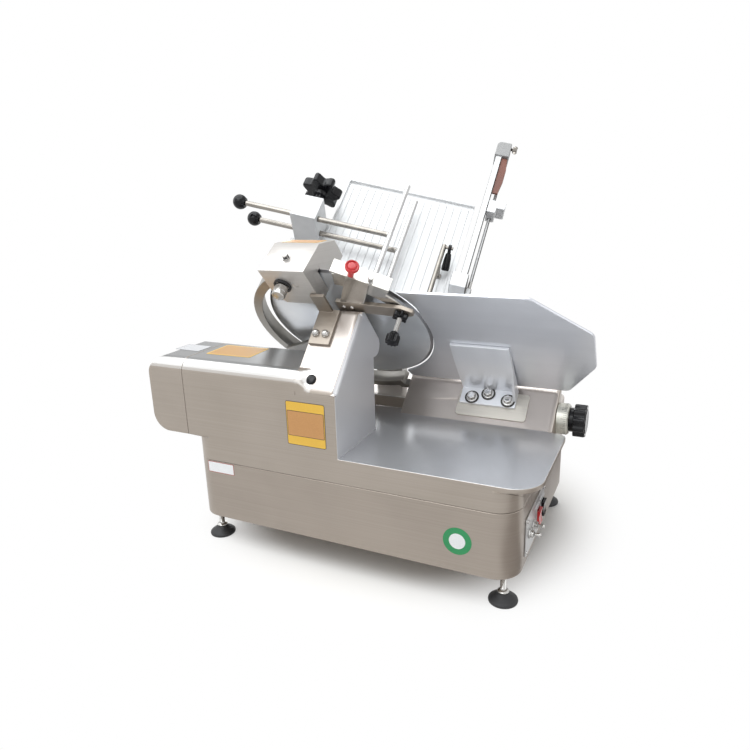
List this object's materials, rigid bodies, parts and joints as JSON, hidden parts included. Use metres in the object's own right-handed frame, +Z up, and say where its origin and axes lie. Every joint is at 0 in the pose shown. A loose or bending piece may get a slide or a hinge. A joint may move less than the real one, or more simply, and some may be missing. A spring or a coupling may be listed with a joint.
{
  "type": "frozen meat slicer",
  "caption": "Counter-top frozen meat slicer with a leaning round blade, ring guard, gauge plate, sliding ribbed tray with rod fence, sharpener head and levelling feet.",
  "frame": {"origin": "middle of the slicer's footprint, on the counter under its feet", "axes": "+X to the operator's right, along the tray's travel; +Y away from the operator; +Z up"},
  "size_m": [0.716, 0.5688, 0.6819],
  "materials": {
    "brushed_steel": "brushed along its length",
    "cast_skin": "ground and brushed casting",
    "satin_steel": "anodised, satin",
    "blade_steel": "ground in circles",
    "chrome": "polished",
    "white_alloy": "light anodised",
    "arm_steel": "brushed",
    "black_plastic": "glossy moulded",
    "red_plastic": "glossy moulded",
    "rubber": "matt",
    "brown_board": "smooth",
    "pale_dial": "fine turned, graduated",
    "dark_cast": "painted casting",
    "stone_grit": "abrasive grain"
  },
  "bodies": {
    "frame": {"base_shell": "brushed_steel", "bottom_plate": "brushed_steel", "foot_pad_1": "rubber", "foot_pad_2": "rubber", "foot_pad_3": "rubber", "foot_pad_4": "rubber", "foot_stud_1": "chrome", "foot_stud_2": "chrome", "foot_stud_3": "chrome", "foot_stud_4": "chrome", "upper_body": "cast_skin", "motor_end_cover": "cast_skin", "neck_plug": "black_plastic", "blade_motor": "dark_cast", "ring_guard": "chrome", "blade_guard": "chrome", "guard_arm": "arm_steel", "sharpener_head": "cast_skin", "sharpener_bracket": "arm_steel", "carriage_bar_front": "chrome", "carriage_bar_back": "chrome", "drive_belt": "rubber", "carriage_gearmotor": "dark_cast", "control_panel": "brushed_steel"},
    "blade_group": {"blade": "blade_steel", "blade_shaft": "chrome"},
    "head_button": {"sharpener_button": "chrome"},
    "front_wheel": {"front_stone": "stone_grit"},
    "back_wheel": {"back_stone": "stone_grit"},
    "star_nut": {"guard_star_nut": "black_plastic"},
    "screw": {"guard_screw": "black_plastic"},
    "pull_knob": {"red_knob": "red_plastic"},
    "carriage": {"carriage_block": "dark_cast", "tray": "white_alloy", "tray_rail": "white_alloy", "rail_strip": "brown_board", "fence_block": "white_alloy", "stop_rod": "chrome"},
    "wing": {"rail_wing_screw": "chrome"},
    "slider": {"rail_slider": "white_alloy"},
    "upper_fence": {"fence_rod_upper": "chrome", "ball_knob_upper": "black_plastic"},
    "lower_fence": {"fence_rod_lower": "chrome", "ball_knob_lower": "black_plastic"},
    "fence_knob": {"fence_star_knob": "black_plastic"},
    "grip": {"stop_handle": "black_plastic"},
    "thickness": {"thickness_knob": "black_plastic", "thickness_dial": "pale_dial", "thickness_shaft": "chrome"},
    "gauge": {"gauge_plate": "satin_steel", "gauge_bracket": "satin_steel", "gauge_foot_plate": "brushed_steel", "gauge_carrier": "dark_cast"},
    "black_rocker": {"rocker_black": "black_plastic"},
    "red_rocker": {"rocker_red": "red_plastic"},
    "toggle_front": {"toggle_lever_1": "chrome"},
    "toggle_back": {"toggle_lever_2": "chrome"},
    "driver": {"drive_pulley": "dark_cast"},
    "idler": {"idler_pulley": "dark_cast"}
  },
  "joints": [
    {"name": "blade_spin", "type": "hinge", "parent": "frame", "child": "blade_group", "pos_m": [-0.054, -0.10081, 0.37143], "axis": [0, 0.7314, 0.682], "continuous": true},
    {"name": "button_push", "type": "slide", "parent": "frame", "child": "head_button", "axis": [0, 0.7314, 0.682], "range_m": [0, 0.004], "stiffness_N_per_m": 900},
    {"name": "front_stone_spin", "type": "hinge", "parent": "head_button", "child": "front_wheel", "pos_m": [-0.105, -0.2133, 0.473], "axis": [0, 0.7314, 0.682], "continuous": true},
    {"name": "back_stone_spin", "type": "hinge", "parent": "frame", "child": "back_wheel", "pos_m": [-0.082, -0.19867, 0.48664], "axis": [0, 0.7314, 0.682], "continuous": true},
    {"name": "star_nut_turn", "type": "hinge", "parent": "frame", "child": "star_nut", "pos_m": [0.07362, -0.17724, 0.40793], "axis": [0, 0.7314, 0.682], "range_deg": [0, 180]},
    {"name": "guard_screw_turn", "type": "hinge", "parent": "frame", "child": "screw", "pos_m": [0.07362, -0.20064, 0.38611], "axis": [0, 0.7314, 0.682], "range_deg": [0, 180]},
    {"name": "red_knob_pull", "type": "slide", "parent": "frame", "child": "pull_knob", "axis": [0.4633, -0.6044, 0.6481], "range_m": [0, 0.008], "stiffness_N_per_m": 500},
    {"name": "carriage_slide", "type": "slide", "parent": "frame", "child": "carriage", "axis": [1, 0, 0], "range_m": [-0.01, 0.2]},
    {"name": "wing_screw_turn", "type": "hinge", "parent": "carriage", "child": "wing", "pos_m": [0.14072, 0.26889, 0.66412], "axis": [0.9537, 0.2051, -0.2199], "range_deg": [0, 180]},
    {"name": "rail_slider_slide", "type": "slide", "parent": "carriage", "child": "slider", "axis": [0, 0.7314, 0.682], "range_m": [-0.15, 0.012]},
    {"name": "fence_upper_slide", "type": "slide", "parent": "carriage", "child": "upper_fence", "axis": [0.9537, 0.2051, -0.2199], "range_m": [-0.1, 0.05]},
    {"name": "fence_lower_slide", "type": "slide", "parent": "carriage", "child": "lower_fence", "axis": [0.9537, 0.2051, -0.2199], "range_m": [-0.1, 0.03]},
    {"name": "fence_knob_turn", "type": "hinge", "parent": "carriage", "child": "fence_knob", "pos_m": [-0.18229, 0.01369, 0.56683], "axis": [0, 0.7314, 0.682], "range_deg": [0, 270]},
    {"name": "stop_handle_swing", "type": "hinge", "parent": "carriage", "child": "grip", "pos_m": [0.07632, 0.06366, 0.48904], "axis": [0.9537, 0.2051, -0.2199], "range_deg": [-150, 0]},
    {"name": "thickness_turn", "type": "hinge", "parent": "frame", "child": "thickness", "pos_m": [0.312, -0.00244, 0.2085], "axis": [1, 0, 0], "range_deg": [0, 300]},
    {"name": "gauge_slide", "type": "slide", "parent": "frame", "child": "gauge", "axis": [0, -0.7314, -0.682], "range_m": [0, 0.01]},
    {"name": "black_rocker_tilt", "type": "hinge", "parent": "frame", "child": "black_rocker", "pos_m": [0.2903, -0.12444, 0.098], "axis": [0, 1, 0], "range_deg": [-6, 6]},
    {"name": "red_rocker_tilt", "type": "hinge", "parent": "frame", "child": "red_rocker", "pos_m": [0.2903, -0.15644, 0.098], "axis": [0, 1, 0], "range_deg": [-6, 6]},
    {"name": "toggle_front_flip", "type": "hinge", "parent": "frame", "child": "toggle_front", "pos_m": [0.2943, -0.21444, 0.098], "axis": [0, 1, 0], "range_deg": [-12, 12]},
    {"name": "toggle_back_flip", "type": "hinge", "parent": "frame", "child": "toggle_back", "pos_m": [0.2943, -0.18744, 0.098], "axis": [0, 1, 0], "range_deg": [-12, 12]},
    {"name": "drive_pulley_turn", "type": "hinge", "parent": "frame", "child": "driver", "pos_m": [0.222, 0.01056, 0.148], "axis": [0, 1, 0], "continuous": true},
    {"name": "idler_pulley_turn", "type": "hinge", "parent": "frame", "child": "idler", "pos_m": [-0.202, 0.01056, 0.148], "axis": [0, 1, 0], "continuous": true}
  ],
  "couplings": [
    {"joint": "gauge_slide", "follows": "thickness_turn", "m_per_rad": 0.0019099},
    {"joint": "drive_pulley_turn", "follows": "carriage_slide", "rad_per_m": 52.632},
    {"joint": "idler_pulley_turn", "follows": "carriage_slide", "rad_per_m": 52.632}
  ]
}
